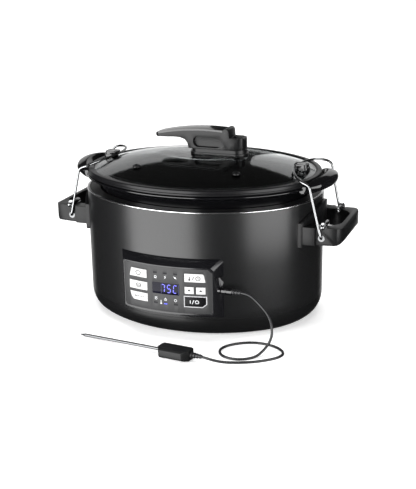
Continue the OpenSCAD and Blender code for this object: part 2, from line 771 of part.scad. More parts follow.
module lever_plan() {
    polygon([[-71, -6], [-66, -10], [-50, -12], [-16, -13.5], [10, -14.3], [40, -14.3],
        [55, -13.6], [61, -10], [63.5, -4], [63.5, 4], [61, 10], [55, 13.6], [40, 14.3],
        [10, 14.3], [-16, 13.5], [-50, 12], [-66, 10], [-71, 6]]);
}

module gloss_side() {
    polygon(concat([[33, 268], [33, 258.6]],
        [for (x = [20 : -12 : -64]) [x, lever_top(x) - 3]],
        [[-75, 249.6], [-75, 268]]));
}

module lid_handle() {
    color([0.12, 0.122, 0.128]) difference() {
        intersection() {
            slab_y(-30, 30) lever_side();
            translate([0, 0, 200]) linear_extrude(100) lever_plan();
        }
        slab_y(-40, 40) gloss_side();
        for (s = [-1, 1]) slab_y(s > 0 ? 7 : -30, s > 0 ? 30 : -7)
            round_box(-11, 236.4, 31.5, 251.6, 7.4);
        for (x = [0, 34]) translate([x, 0, 200]) cylinder(r = 1.9, h = 44, $fn = pin_fn);
        translate([port_x, 0, 200]) cylinder(r = 3, h = 60, $fn = pin_fn);
        translate([port_x - 7, -8, 243]) cube([14, 16, 20]);
    }
}

module lid_handle_top() {
    color([0.02, 0.02, 0.022]) intersection() {
        slab_y(-30, 30) lever_side();
        slab_y(-30, 30) gloss_side();
        translate([0, 0, 200]) linear_extrude(100) lever_plan();
    }
}

module lid_handle_screws() {
    color([0.62, 0.62, 0.64]) for (x = [0, 34]) translate([x, 0, 0]) {
        translate([0, 0, dome_top - glass_t - 2.6]) cylinder(r = 5, h = 2.6, $fn = pin_fn);
        translate([0, 0, dome_top - glass_t - 0.1]) cylinder(r = 1.85, h = 22, $fn = pin_fn);
    }
}

module probe_port_sleeve() {
    color([0.09, 0.09, 0.095]) translate([port_x, 0, 0]) difference() {
        union() {
            translate([0, 0, dome_top - glass_t - 3]) cylinder(r = 5, h = 14.6, $fn = pin_fn);
            translate([0, 0, dome_top - glass_t - 3]) cylinder(r = 7.5, h = 3, $fn = pin_fn);
        }
        translate([0, 0, 200]) cylinder(r = 3, h = 60, $fn = pin_fn);
    }
}

// ---- Food probe: plug in the jack, cord to the table, handle and needle ----
plug_end = 88;
relief_end = 100;
probe_turn = -9.5;      // direction of the lying probe, from +X
probe_tilt = -2.2;      // the needle's tip rests on the table
probe_pos = [11, -198.5, 0];    // where the needle goes into the probe's handle
probe_axis_z = 7;
probe_len = 47;
probe_needle_len = 131;
probe_relief_len = 16;

module probe_plug() {
    color([0.70, 0.71, 0.73]) translate([0, jack[1], jack[2]]) {
        rod_x(1.7, jack[0] - 3.5, jack[0] + 6.1);
        rod_x(4.6, jack[0] + 6, plug_end);
    }
}

module probe_plug_relief() {
    color([0.07, 0.07, 0.07]) translate([0, jack[1], jack[2]]) {
        for (k = [0 : 2]) rod_x(3.8 - 0.4 * k, plug_end + 0.05 + 4 * k, plug_end + 2.6 + 4 * k);
        rod_x(2.4, plug_end + 0.05, relief_end);
    }
}

// Points along the probe cord, from the plug's relief to the handle's relief.
cord_route = [
    [100, -132.5, 72], [108, -133, 71.2], [116, -134, 68.2], [124, -136.2, 63],
    [131, -138.4, 57.6], [138, -141, 51.6], [143.6, -144.6, 44.6], [147, -148.4, 37],
    [148.4, -151.6, 27.4], [146.6, -153.4, 19], [143, -155.4, 11.6], [138, -161.6, 5.4],
    [132.6, -170.6, 2.2], [125.6, -178.6, 1.7], [115.6, -184.6, 1.7], [103.6, -186, 1.7],
    [92.6, -182.2, 1.7], [84.6, -173.6, 1.7], [81.6, -162.6, 1.7], [85.6, -150.6, 1.7],
    [95.6, -139.4, 1.7], [108.6, -131.4, 1.7], [122.6, -128, 1.7], [138, -129.4, 1.7],
    [152, -135.4, 1.7], [161, -144.6, 1.7], [163.4, -154.6, 1.7], [158.6, -166, 1.7],
    [147.6, -177, 1.7], [133.6, -187, 1.7], [119.6, -193.6, 1.8], [106.6, -199.2, 2.4],
    [95.4, -205.2, 4.6], [84.4, -209.8, 8], [72.8, -208.8, 9.4]
];

module probe_cord() {
    color([0.06, 0.06, 0.06]) tube(soften(cord_route, 2), cord_d);
}

module probe_frame() {
    translate(probe_pos) rotate([0, probe_tilt, probe_turn]) children();
}

module probe_handle_relief() {
    color([0.07, 0.07, 0.07]) probe_frame() translate([0, 0, probe_axis_z]) {
        for (k = [0 : 3])
            rod_x(4.2 - 0.45 * k, probe_len + 0.05 + 4 * k, probe_len + 2.6 + 4 * k);
        rod_x(2.4, probe_len + 0.05, probe_len + probe_relief_len);
    }
}

module probe_handle() {
    color([0.06, 0.062, 0.066]) probe_frame() difference() {
        intersection() {
            linear_extrude(30) polygon([[0, -6], [5, -11.5], [38, -11.5], [probe_len, -6.5],
                [probe_len, 6.5], [38, 11.5], [5, 11.5], [0, 6]]);
            rotate([90, 0, 90]) linear_extrude(60) polygon([[-9.5, 0], [9.5, 0], [11.6, 2.5],
                [11.6, 10.5], [8.4, 13.6], [-8.4, 13.6], [-11.6, 10.5], [-11.6, 2.5]]);
        }
        translate([0, 0, probe_axis_z]) rod_x(needle_d / 2 + 0.02, -5, 20);
    }
}

module probe_needle() {
    tip = -probe_needle_len;
    color([0.78, 0.79, 0.80]) probe_frame() translate([0, 0, probe_axis_z]) {
        rod_x(needle_d / 2, tip + 9, 19);
        translate([tip, 0, 0]) rotate([0, 90, 0])
            cylinder(r1 = 0.3, r2 = needle_d / 2, h = 9.05, $fn = pin_fn);
    }
}

base_tray();
bottom_cover();
rubber_feet();
bottom_cover_screws();
outer_shell();
rim_trim_ring();
heating_well();
heating_band();
insulation_blanket();
temperature_sensor();
sensor_spring();
sensor_bracket();
thermal_fuse();
power_board();
terminal_block();
cord_gland();
handle_left();
handle_right();
handle_flanges();
handle_screws();
detent_pins();
latch_bushes();
wire_latch_left();
wire_latch_right();
panel_bezel();
panel_fascia();
display_lens();
display_module();
status_windows();
power_button_rim();
control_board();
board_screws();
tact_switches();
probe_jack();
button_cook();
button_warm();
button_probe();
button_timer();
button_down();
button_up();
button_power();
cooking_pot();
glass_lid();
lid_rim_band();
lid_seal();
lid_hooks();
hook_rivets();
steam_vents();
lid_handle_base();
lid_handle();
lid_handle_top();
lid_handle_screws();
probe_port_sleeve();
probe_plug();
probe_plug_relief();
probe_cord();
probe_handle_relief();
probe_handle();
probe_needle();
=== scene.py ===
"""Looks of the slow cooker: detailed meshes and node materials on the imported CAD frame.
Lengths in the geometry code are millimetres in the CAD frame; M turns them into metres."""
import bpy
import bmesh
import json
import math
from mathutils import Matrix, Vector


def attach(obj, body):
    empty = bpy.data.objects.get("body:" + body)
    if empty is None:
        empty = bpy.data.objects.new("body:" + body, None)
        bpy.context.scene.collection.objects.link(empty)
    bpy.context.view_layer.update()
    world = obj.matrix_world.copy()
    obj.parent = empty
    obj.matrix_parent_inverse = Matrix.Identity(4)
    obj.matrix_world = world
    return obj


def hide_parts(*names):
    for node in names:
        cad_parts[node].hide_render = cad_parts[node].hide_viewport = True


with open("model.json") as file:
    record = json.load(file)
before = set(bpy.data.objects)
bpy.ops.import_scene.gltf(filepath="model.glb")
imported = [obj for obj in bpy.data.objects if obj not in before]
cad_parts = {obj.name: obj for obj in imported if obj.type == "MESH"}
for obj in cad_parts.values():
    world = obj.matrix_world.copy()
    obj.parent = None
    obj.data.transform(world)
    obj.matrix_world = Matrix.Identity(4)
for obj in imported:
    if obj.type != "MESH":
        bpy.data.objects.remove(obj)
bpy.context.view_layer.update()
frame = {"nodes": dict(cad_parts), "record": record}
M = 0.001
scene = bpy.context.scene

# ---------------------------------------------------------------- camera
AZ, EL, ROLL = math.radians(20.96), math.radians(18.13), math.radians(0.954)
right = Vector((math.cos(AZ), math.sin(AZ), 0))
back = Vector((math.sin(AZ) * math.cos(EL), -math.cos(AZ) * math.cos(EL), math.sin(EL)))
up = back.cross(right)
cam_right = right * math.cos(ROLL) - up * math.sin(ROLL)
cam_up = right * math.sin(ROLL) + up * math.cos(ROLL)
cam_data = bpy.data.cameras.new("camera")
cam = bpy.data.objects.new("camera", cam_data)
scene.collection.objects.link(cam)
LENS, SENSOR = 72.72, 36
AIM, DISTANCE = Vector((3.85, 0, 88.3)) * M, 1.4457
cam_data.lens, cam_data.sensor_width = LENS, SENSOR
cam_data.clip_end = 100
m = cam.matrix_world.copy()
for i in range(3):
    m[i][0], m[i][1], m[i][2] = cam_right[i], cam_up[i], back[i]
place = AIM + back * DISTANCE
m[0][3], m[1][3], m[2][3] = place
cam.matrix_world = m
scene.camera = cam


# ---------------------------------------------------------------- materials
def material(name, color, rough, metal=0.0, spread=0.05, grain=900.0, bump=0.05, vary=0.15,
             coat=0.0, spec=0.5, stretch=(1, 1, 1), depth=0.00008):
    """A moulded or metal surface: grain in its colour, roughness and bump."""
    mat = bpy.data.materials.new(name)
    mat.use_nodes = True
    nodes, links = mat.node_tree.nodes, mat.node_tree.links
    shader = nodes["Principled BSDF"]
    shader.inputs["Metallic"].default_value = metal
    shader.inputs["Specular IOR Level"].default_value = spec
    shader.inputs["Coat Weight"].default_value = coat
    shader.inputs["Coat Roughness"].default_value = 0.06
    coords = nodes.new("ShaderNodeTexCoord")
    mapping = nodes.new("ShaderNodeMapping")
    mapping.inputs["Scale"].default_value = stretch
    links.new(coords.outputs["Object"], mapping.inputs["Vector"])
    fine = nodes.new("ShaderNodeTexNoise")
    fine.inputs["Scale"].default_value = grain
    fine.inputs["Detail"].default_value = 3
    links.new(mapping.outputs["Vector"], fine.inputs["Vector"])
    broad = nodes.new("ShaderNodeTexNoise")
    broad.inputs["Scale"].default_value = 14
    broad.inputs["Detail"].default_value = 2
    links.new(mapping.outputs["Vector"], broad.inputs["Vector"])
    ramp = nodes.new("ShaderNodeValToRGB")
    low, high = ramp.color_ramp.elements
    low.position, high.position = 0.35, 0.65
    low.color = (*[c * (1 - vary) for c in color], 1)
    high.color = (*[min(1, c * (1 + vary)) for c in color], 1)
    links.new(broad.outputs["Fac"], ramp.inputs["Fac"])
    links.new(ramp.outputs["Color"], shader.inputs["Base Color"])
    rng = nodes.new("ShaderNodeMapRange")
    rng.inputs["To Min"].default_value = max(0.02, rough - spread)
    rng.inputs["To Max"].default_value = min(1, rough + spread)
    links.new(fine.outputs["Fac"], rng.inputs["Value"])
    links.new(rng.outputs["Result"], shader.inputs["Roughness"])
    if bump:
        relief = nodes.new("ShaderNodeBump")
        relief.inputs["Strength"].default_value = bump
        relief.inputs["Distance"].default_value = depth
        links.new(fine.outputs["Fac"], relief.inputs["Height"])
        links.new(relief.outputs["Normal"], shader.inputs["Normal"])
    return mat


def glowing(name, color, strength):
    """A lit mark on the display, glowing evenly in its colour."""
    mat = material(name, color, 0.3, bump=0)
    shader = mat.node_tree.nodes["Principled BSDF"]
    shader.inputs["Emission Color"].default_value = (*color, 1)
    shader.inputs["Emission Strength"].default_value = strength
    return mat


SHELL = material("satin_black_shell", (0.005, 0.0051, 0.0054), 0.28, spread=0.03, grain=2600,
                 bump=0.05, vary=0.06, spec=0.5)
BASE = material("base_plastic", (0.004, 0.0041, 0.0043), 0.30, grain=1800, bump=0.08, spec=0.28)
GRIP = material("handle_plastic", (0.005, 0.0051, 0.0054), 0.34, grain=2200, bump=0.10, spec=0.24)
LEVER = material("lid_handle_plastic", (0.006, 0.0061, 0.0064), 0.30, grain=2200, bump=0.12, spec=0.28)
GLOSS = material("gloss_black", (0.004, 0.004, 0.0045), 0.10, spread=0.03, grain=300, bump=0.01, coat=0.4)
PANEL = material("bezel_gloss", (0.005, 0.005, 0.006), 0.20, spread=0.03, grain=500, bump=0.02)
GLAZE = material("pot_glaze", (0.003, 0.003, 0.0035), 0.09, spread=0.03, grain=60, bump=0.02, coat=0.3,
                 depth=0.0004)
BAND = material("lid_band", (0.005, 0.005, 0.0055), 0.28, spread=0.04, grain=1500, bump=0.04, spec=0.28)
FASCIA = material("fascia_grey", (0.026, 0.0262, 0.027), 0.48, grain=2600, bump=0.12, vary=0.05, spec=0.35)
WHITE = material("button_white", (0.50, 0.50, 0.495), 0.45, grain=2600, bump=0.06, vary=0.02, spec=0.3)
INK = material("icon_grey", (0.03, 0.03, 0.032), 0.6, bump=0, vary=0.05, spec=0.1)
KEY = material("power_key", (0.004, 0.004, 0.0045), 0.22, spread=0.03, grain=300, bump=0.01, spec=0.12)
RING = material("power_ring", (0.36, 0.36, 0.37), 0.4, grain=900, bump=0.03, vary=0.03)
PALE = material("icon_pale", (0.50, 0.51, 0.52), 0.5, bump=0, vary=0.05)
CHROME = material("chrome_wire", (0.34, 0.345, 0.35), 0.20, metal=1, spread=0.05, grain=700, bump=0.03,
                  vary=0.05)
BRIGHT = material("bright_rim", (0.88, 0.88, 0.89), 0.20, metal=1, spread=0.05, grain=900, bump=0.03,
                  vary=0.03, stretch=(1, 1, 30))
STEEL = material("brushed_steel", (0.46, 0.465, 0.47), 0.30, metal=1, spread=0.10, grain=500, bump=0.08,
                 vary=0.08, stretch=(1, 1, 8))
NEEDLE = material("needle_steel", (0.16, 0.162, 0.165), 0.28, metal=1, spread=0.05, grain=900, bump=0.03,
                  vary=0.05)
RUBBER = material("rubber", (0.018, 0.018, 0.019), 0.55, grain=1600, bump=0.2)
CORD = material("cord_rubber", (0.013, 0.013, 0.014), 0.38, grain=1200, bump=0.08)
DISPLAY = material("display_black", (0.003, 0.003, 0.008), 0.14, spread=0.02, grain=200, bump=0, spec=0.12)
LED = glowing("display_blue", (0.09, 0.09, 0.62), 0.6)
HALO = glowing("display_glow", (0.006, 0.006, 0.09), 0.3)
WINDOW = material("status_window", (0.006, 0.006, 0.008), 0.2, bump=0, vary=0.1, spec=0.15)

GLASS = material("lid_glass", (0.80, 0.83, 0.83), 0.02, spread=0.01, grain=30, bump=0.01, vary=0.02,
                 depth=0.0005)
glass_shader = GLASS.node_tree.nodes["Principled BSDF"]
glass_shader.inputs["Transmission Weight"].default_value = 1.0
glass_shader.inputs["IOR"].default_value = 1.5

INNER = {
    "base_plastic": BASE, "rubber": RUBBER, "screw_steel": STEEL, "spring_steel": CHROME,
    "chrome": CHROME, "black_plastic": GRIP, "gloss_black": GLOSS, "trim_steel": BRIGHT, "seal": RUBBER,
    "cover_sheet": material("cover_sheet", (0.045, 0.046, 0.048), 0.6, metal=0.3, grain=700, bump=0.2),
    "well_aluminium": material("well_enamel", (0.014, 0.014, 0.015), 0.35, metal=0.2, grain=900, bump=0.1),
    "heater": material("heater_mica", (0.45, 0.36, 0.22), 0.7, grain=500, bump=0.3, vary=0.3),
    "blanket": material("glass_wool", (0.62, 0.60, 0.52), 0.9, grain=350, bump=0.8, vary=0.25),
    "board": material("circuit_board", (0.02, 0.12, 0.05), 0.45, grain=400, bump=0.1, vary=0.3),
    "white_plastic": material("nylon", (0.62, 0.61, 0.57), 0.45, grain=900, bump=0.1),
    "button_white": WHITE, "window": WINDOW, "fascia_grey": FASCIA, "lid_glass": GLASS,
    "stoneware": GLAZE, "shell_paint": SHELL,
}
for sub in frame["record"]["subparts"]:
    mesh = frame["nodes"][sub["node"]].data
    mesh.materials.clear()
    mesh.materials.append(INNER[sub["material_slot"]])
frame["nodes"]["probe_jack"].data.materials[0] = GLOSS
frame["nodes"]["latch_bushes"].data.materials[0] = NEEDLE


# ---------------------------------------------------------------- mesh helpers
def smooth(obj, angle=32):
    """Smooth shading, with edges sharper than the angle kept crisp."""
    obj.data.polygons.foreach_set("use_smooth", [True] * len(obj.data.polygons))
    obj.data.set_sharp_from_angle(angle=math.radians(angle))


def piece(name, verts, faces, mat, body, nodes=(), angle=32, subdivide=0):
    """A new mesh in millimetres that rides on a body and stands for CAD nodes."""
    mesh = bpy.data.meshes.new(name)
    mesh.from_pydata([Vector(v) * M for v in verts], [], faces)
    bm = bmesh.new()
    bm.from_mesh(mesh)
    bmesh.ops.remove_doubles(bm, verts=bm.verts, dist=1e-7)
    bmesh.ops.recalc_face_normals(bm, faces=bm.faces)
    bm.to_mesh(mesh)
    bm.free()
    obj = bpy.data.objects.new(name, mesh)
    scene.collection.objects.link(obj)
    mesh.materials.append(mat)
    if subdivide:
        mod = obj.modifiers.new("smooth", "SUBSURF")
        mod.levels = mod.render_levels = subdivide
    smooth(obj, angle)
    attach(obj, body)
    if nodes:
        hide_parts(*nodes)
    return obj


def rounded(points, r, steps=3, closed=True):
    """Rounds the corners of a flat outline; r is one radius or one for each point."""
    out, n = [], len(points)
    for i, p in enumerate(points):
        ri = r[i] if isinstance(r, (list, tuple)) else r
        a, b = Vector(points[i - 1]), Vector(points[(i + 1) % n])
        p = Vector(p)
        if (not closed and i in (0, n - 1)) or ri <= 0:
            out.append(tuple(p))
            continue
        da, db = (a - p), (b - p)
        cut = min(ri, da.length * 0.45, db.length * 0.45)
        s, e = p + da.normalized() * cut, p + db.normalized() * cut
        for k in range(steps + 1):
            t = k / steps
            out.append(tuple(s * (1 - t) ** 2 + p * 2 * t * (1 - t) + e * t * t))
    return out


END_C, END_R, SIDE_C, SIDE_R = 48, 124, 64, 204
TURN = math.atan2(SIDE_C, END_C)


def directions(n_end=44, n_side=30):
    """Points round the body's oval: an arc's centre and radius, and the direction out of it."""
    out = []
    for cx, cy, r, a0, a1, n in (
            (END_C, 0, END_R, -TURN, TURN, n_end), (0, -SIDE_C, SIDE_R, TURN, math.pi - TURN, n_side),
            (-END_C, 0, END_R, math.pi - TURN, math.pi + TURN, n_end),
            (0, SIDE_C, SIDE_R, math.pi + TURN, 2 * math.pi - TURN, n_side)):
        for i in range(n):
            a = a0 + (a1 - a0) * i / n
            out.append((cx, cy, r, math.cos(a), math.sin(a)))
    return out


ROUND = directions()


def sweep(name, section, mat, body, nodes=(), closed=True, cap=False, angle=32):
    """A section of (distance out, height) points swept round the body's oval."""
    k, verts, faces = len(section), [], []
    for cx, cy, r, c, s in ROUND:
        verts += [(cx + (r + d) * c, cy + (r + d) * s, z) for d, z in section]
    n = len(ROUND)
    for i in range(n):
        j = (i + 1) % n
        for q in range(k if closed else k - 1):
            w = (q + 1) % k
            faces.append((i * k + q, j * k + q, j * k + w, i * k + w))
    if cap:
        faces.append([i * k for i in range(n)])
        faces.append([i * k + k - 1 for i in reversed(range(n))])
    return piece(name, verts, faces, mat, body, nodes, angle)


def lathe(name, section, start, axis, mat, body, nodes=(), n=28, angle=32):
    """A section of (radius, distance along the axis) points turned about an axis."""
    axis = Vector(axis).normalized()
    u = axis.orthogonal().normalized()
    v = axis.cross(u)
    start, k, verts, faces = Vector(start), len(section), [], []
    for i in range(n):
        a = 2 * math.pi * i / n
        e = u * math.cos(a) + v * math.sin(a)
        verts += [start + axis * h + e * r for r, h in section]
    for i in range(n):
        j = (i + 1) % n
        for q in range(k - 1):
            faces.append((i * k + q, j * k + q, j * k + q + 1, i * k + q + 1))
    for q in (0, k - 1):
        if section[q][0] > 1e-6:
            faces.append([i * k + q for i in range(n)])
    return piece(name, verts, faces, mat, body, nodes, angle)


def from_cad(node, name, mat, body, bevel=0.5, steps=2, limit=40, flat=0.6, angle=32):
    """The CAD piece with its edges broken, as moulded and pressed parts have them."""
    mesh = frame["nodes"][node].data.copy()
    bm = bmesh.new()
    bm.from_mesh(mesh)
    bmesh.ops.remove_doubles(bm, verts=bm.verts, dist=1e-6)
    bmesh.ops.dissolve_limit(bm, angle_limit=math.radians(flat), verts=bm.verts, edges=bm.edges)
    bm.to_mesh(mesh)
    bm.free()
    obj = bpy.data.objects.new(name, mesh)
    scene.collection.objects.link(obj)
    mod = obj.modifiers.new("edges", "BEVEL")
    mod.width, mod.segments, mod.limit_method = bevel * M, steps, "ANGLE"
    mod.angle_limit, mod.use_clamp_overlap = math.radians(limit), True
    bpy.context.view_layer.update()
    done = bpy.data.meshes.new_from_object(obj.evaluated_get(bpy.context.evaluated_depsgraph_get()))
    obj.modifiers.clear()
    obj.data = done
    done.name = name
    done.materials.clear()
    done.materials.append(mat)
    smooth(obj, angle)
    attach(obj, body)
    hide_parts(node)
    return obj


def soften(points, n):
    """Catmull-Rom points through a route, as part.scad makes them."""
    out = []
    for i in range(len(points) - 1):
        a, b = Vector(points[max(i - 1, 0)]), Vector(points[i])
        c, d = Vector(points[i + 1]), Vector(points[min(i + 2, len(points) - 1)])
        for k in range(n):
            t = k / n
            out.append(0.5 * (2 * b + (c - a) * t + (2 * a - 5 * b + 4 * c - d) * t * t
                              + (3 * b - a - 3 * c + d) * t ** 3))
    return out + [Vector(points[-1])]


def wire(name, points, d, mat, body, nodes=(), fine=8):
    """A round wire or cord: one open spline with a bevel."""
    curve = bpy.data.curves.new(name, "CURVE")
    curve.dimensions = "3D"
    curve.bevel_depth, curve.bevel_resolution, curve.use_fill_caps = d / 2 * M, fine, True
    spline = curve.splines.new("POLY")
    spline.points.add(len(points) - 1)
    for p, q in zip(spline.points, points):
        p.co = (*(Vector(q) * M), 1)
    spline.use_smooth = True
    curve.materials.append(mat)
    obj = bpy.data.objects.new(name, curve)
    scene.collection.objects.link(obj)
    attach(obj, body)
    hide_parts(*nodes)
    return obj


# ---------------------------------------------------------------- probe and its cord
JACK = (67, -132.5, 72)
ROUTE = [
    (100, -132.5, 72), (108, -133, 71.2), (116, -134, 68.2), (124, -136.2, 63),
    (131, -138.4, 57.6), (138, -141, 51.6), (143.6, -144.6, 44.6), (147, -148.4, 37),
    (148.4, -151.6, 27.4), (146.6, -153.4, 19), (143, -155.4, 11.6), (138, -161.6, 5.4),
    (132.6, -170.6, 2.2), (125.6, -178.6, 1.7), (115.6, -184.6, 1.7), (103.6, -186, 1.7),
    (92.6, -182.2, 1.7), (84.6, -173.6, 1.7), (81.6, -162.6, 1.7), (85.6, -150.6, 1.7),
    (95.6, -139.4, 1.7), (108.6, -131.4, 1.7), (122.6, -128, 1.7), (138, -129.4, 1.7),
    (152, -135.4, 1.7), (161, -144.6, 1.7), (163.4, -154.6, 1.7), (158.6, -166, 1.7),
    (147.6, -177, 1.7), (133.6, -187, 1.7), (119.6, -193.6, 1.8), (106.6, -199.2, 2.4),
    (95.4, -205.2, 4.6), (84.4, -209.8, 8), (72.8, -208.8, 9.4)]
line = soften(ROUTE, 5)
cord = wire("probe_lead", line, 3.4, CORD, "housing", ("probe_cord",))

plug = lathe("probe_plug_body", [(1.7, -3.4), (1.7, 5.9), (4.1, 6), (4.6, 6.5), (4.6, 12), (4.2, 12.4),
                                 (4.2, 13.4), (4.6, 13.8), (4.6, 20.4), (4.1, 21)],
             JACK, (1, 0, 0), GLOSS, "housing", ("probe_plug",))
ribs = [(1.9, 0.1)]
for k in range(3):
    r = 3.8 - 0.4 * k
    ribs += [(r - 0.3, 0.1 + 4 * k), (r, 0.5 + 4 * k), (r, 2.2 + 4 * k), (r - 0.3, 2.6 + 4 * k),
             (2.4, 2.9 + 4 * k), (2.4, 3.8 + 4 * k)]
plug_relief = lathe("probe_plug_boot", ribs + [(2.4, 11.9), (1.8, 12)], (88, -132.5, 72), (1, 0, 0),
                    CORD, "housing", ("probe_plug_relief",))

tilt, turn = math.radians(-2.2), math.radians(-9.5)


def probe_point(x, y, z):
    """A point in the lying probe's own frame, as part.scad turns it."""
    x, z = x * math.cos(tilt) + z * math.sin(tilt), -x * math.sin(tilt) + z * math.cos(tilt)
    return Vector((11 + x * math.cos(turn) - y * math.sin(turn),
                   -198.5 + x * math.sin(turn) + y * math.cos(turn), z))


probe_dir = probe_point(1, 0, 0) - probe_point(0, 0, 0)
boot = [(2.0, 0.05)]
for k in range(4):
    r = 4.2 - 0.45 * k
    boot += [(r - 0.3, 0.05 + 4 * k), (r, 0.5 + 4 * k), (r, 2.2 + 4 * k), (r - 0.3, 2.6 + 4 * k),
             (2.3, 2.9 + 4 * k), (2.3, 3.8 + 4 * k)]
probe_boot = lathe("probe_handle_boot", boot + [(2.2, 16)], probe_point(47, 0, 7), probe_dir, CORD,
                   "housing", ("probe_handle_relief",))
probe_grip = from_cad("probe_handle", "probe_grip", GRIP, "housing", bevel=0.9, steps=3, limit=20)
needle = frame["nodes"]["probe_needle"]
needle.data.materials[0] = NEEDLE

# ---------------------------------------------------------------- base, shell and rim
deep = 26.8
outer = [(-18 * (1 - math.cos(math.radians(u))), 28.8 - deep * math.sin(math.radians(u)))
         for u in range(0, 81, 5)]
inner = [(-2.6 - 16 * (1 - math.cos(math.radians(u))), 28.8 - (deep - 4) * math.sin(math.radians(u)))
         for u in range(60, -1, -10)]
sweep("base_moulding", outer + [(-18, 2), (-18, 5), (-36, 5), (-36, 7.6), (-18, 7.6)] + inner
      + [(-3.2, 33.8), (-1.3, 33.8), (-1.3, 28.8), (-0.5, 28.8)], BASE, "housing", ("base_tray",))
# The shell's sheet, with the window that the buttons reach through.
shell = sweep("shell_sheet", rounded([(-1.2, 28.85), (0, 28.85), (0, 41), (0, 99), (0, 176.2), (-1.2, 176.2),
                                      (-1.2, 99), (-1.2, 41)], [0.25, 0.25, 0, 0, 0.25, 0.25, 0, 0]),
              SHELL, "housing", ("outer_shell",))
bm = bmesh.new()
bm.from_mesh(shell.data)
window = [f for f in bm.faces if abs(f.calc_center_median().x) < 0.0625 and f.calc_center_median().y < -0.1
          and 0.041 < f.calc_center_median().z < 0.099 and abs(f.normal.z) < 0.5]
bmesh.ops.delete(bm, geom=window, context="FACES")
bmesh.ops.bridge_loops(bm, edges=[e for e in bm.edges if e.is_boundary])
bm.to_mesh(shell.data)
bm.free()
smooth(shell)
sweep("rim_bead", rounded([(-2.8, 176.2), (0.3, 176.2), (0.9, 176.8), (0.9, 177.4), (0.5, 178),
                           (-0.2, 178.3), (-2.8, 178.3)], 0.3), BRIGHT, "housing", ("rim_trim_ring",))

# ---------------------------------------------------------------- pot
COVE = 178.6
pot_out = [(-33, 59.5), (-29.5, 61.1), (-27.9, 64), (-27.6, 67)]
pot_out += [(-0.5 - 19.5 * math.cos(math.radians(u)), COVE + 17.4 * math.sin(math.radians(u)))
            for u in range(0, 88, 6)]
pot_rim = rounded([(-0.5, 195.6), (-0.1, 196.9), (-1, 198), (-12.2, 198), (-13.2, 197.2), (-13.6, 193.6),
                   (-24, 192.6), (-25.2, 190), (-32, 74), (-34, 69), (-38, 66)], 0.8, closed=False)
sweep("pot_glazed", pot_out + pot_rim + [(-60, 66), (-60, 59.5)], GLAZE, "pot", ("cooking_pot",))
for name, z in (("pot_floor_inside", 66), ("pot_floor_outside", 59.5)):
    sweep(name, [(-59.9, z - 0.3), (-59.9, z)], GLAZE, "pot", closed=False,
          cap=True)


def ear(side):
    """A wing at the end of the pot's rim."""
    verts, faces, n = [], [], 40
    for i in range(n + 1):
        a = math.radians(-90 + 180 * i / n) * 0.985
        y = 51.8 * math.sin(a)
        xo = 162 + 31.8 * math.cos(a)
        rim = END_C + math.sqrt((END_R - 1.8) ** 2 - y * y)
        top = 196.5 + 14.3 * math.sqrt(max(0, 1 - (y / 53.5) ** 2))
        f = math.cos(a)
        xo = max(xo, rim + 3.4)
        inner_x = rim + 0.3 + 6 * f ** 2
        top = max(top, 198.6)
        bottom = 190 - 3.0 * f
        section = [(rim - 5, bottom + 2), (rim - 1, bottom), (rim + (xo - rim) * 0.45, bottom + 2.4 * f),
                   (xo - 2.5 * f, 196 - 1.5 * f), (xo, 198.6), (xo, max(199, top - 5.8)),
                   (xo - 2.6 * f - 0.4, top - 2.6 * f), (rim + (xo - rim) * 0.55, top - 0.4 * f),
                   (inner_x + 1.6 * f, top), (inner_x, top - 1.6 * f - 0.2), (rim + 0.1, 199.4),
                   (rim - 0.1, 197.9), (rim - 5, 197.6)]
        k = len(section)
        verts += [(side * x, y, z) for x, z in section]
    for i in range(n):
        for q in range(k):
            w = (q + 1) % k
            faces.append((i * k + q, (i + 1) * k + q, (i + 1) * k + w, i * k + w))
    faces += [list(range(k)), list(range(n * k, n * k + k))]
    return piece("pot_ear_" + ("right" if side > 0 else "left"), verts, faces, GLAZE, "pot",
                 angle=60, subdivide=1)


ear(1)
ear(-1)


# ---------------------------------------------------------------- lid
def dome(d):
    return 205 + 21.5 * (1 - (1 - min(max(d - 10, 0), 112) / 112) ** 1.6)


rise = [(-d, dome(d) - 0.2) for d in [10 + 5 * k for k in range(20)]]
under = [(-d, z - 4) for d, z in [(-p[0], p[1]) for p in reversed(rise)]]
flat = dome(105) - 0.2
sweep("glass_dome", [(-105, flat)] + list(reversed(rise)) + [(-6, 204.8), (-5.4, 204.4), (-5.2, 203.8),
                                                            (-5.2, 201.4), (-5.6, 200.8)]
      + [(-10, 200.8)] + list(reversed(under))[1:] + [(-105, flat - 4)], GLASS, "lid", ("glass_lid",),
      closed=False, cap=True, angle=50)
sweep("lid_band", rounded([(-2.4, 198.7), (-2.2, 201.2), (-3.1, 201.9), (-3.1, 205.0), (-3.9, 206.1),
                           (-9.4, 206.5),
                           (-10.6, 206), (-10.6, 205.4), (-5.1, 205.1), (-5.1, 200.7), (-14, 200.5),
                           (-14, 198.7)], 0.5), BAND, "lid", ("lid_rim_band",))
from_cad("lid_hooks", "hook_lugs", GLOSS, "lid", bevel=0.6, steps=2)
for side in (-1, 1):
    lathe("vent_eyelet_" + ("a" if side < 0 else "b"),
          [(1.7, -3), (1.7, 0.9), (2.2, 1.6), (3.6, 1.9), (4.9, 1.3), (5.5, 0.2), (5.6, -0.6)],
          (side * 73, -71, dome(53) - 0.2 + 0.6), (side * 0.05, -0.09, 1), GRIP, "lid",
          ("steam_vents",) if side > 0 else ())

# ---------------------------------------------------------------- lid handle
from_cad("lid_handle_base", "handle_foot", LEVER, "lid", bevel=0.8, steps=2)
from_cad("lid_handle", "handle_grip", LEVER, "lid", bevel=0.9, steps=3, limit=30)
from_cad("lid_handle_top", "handle_gloss_cap", GLOSS, "lid", bevel=1.2, steps=3, limit=30)

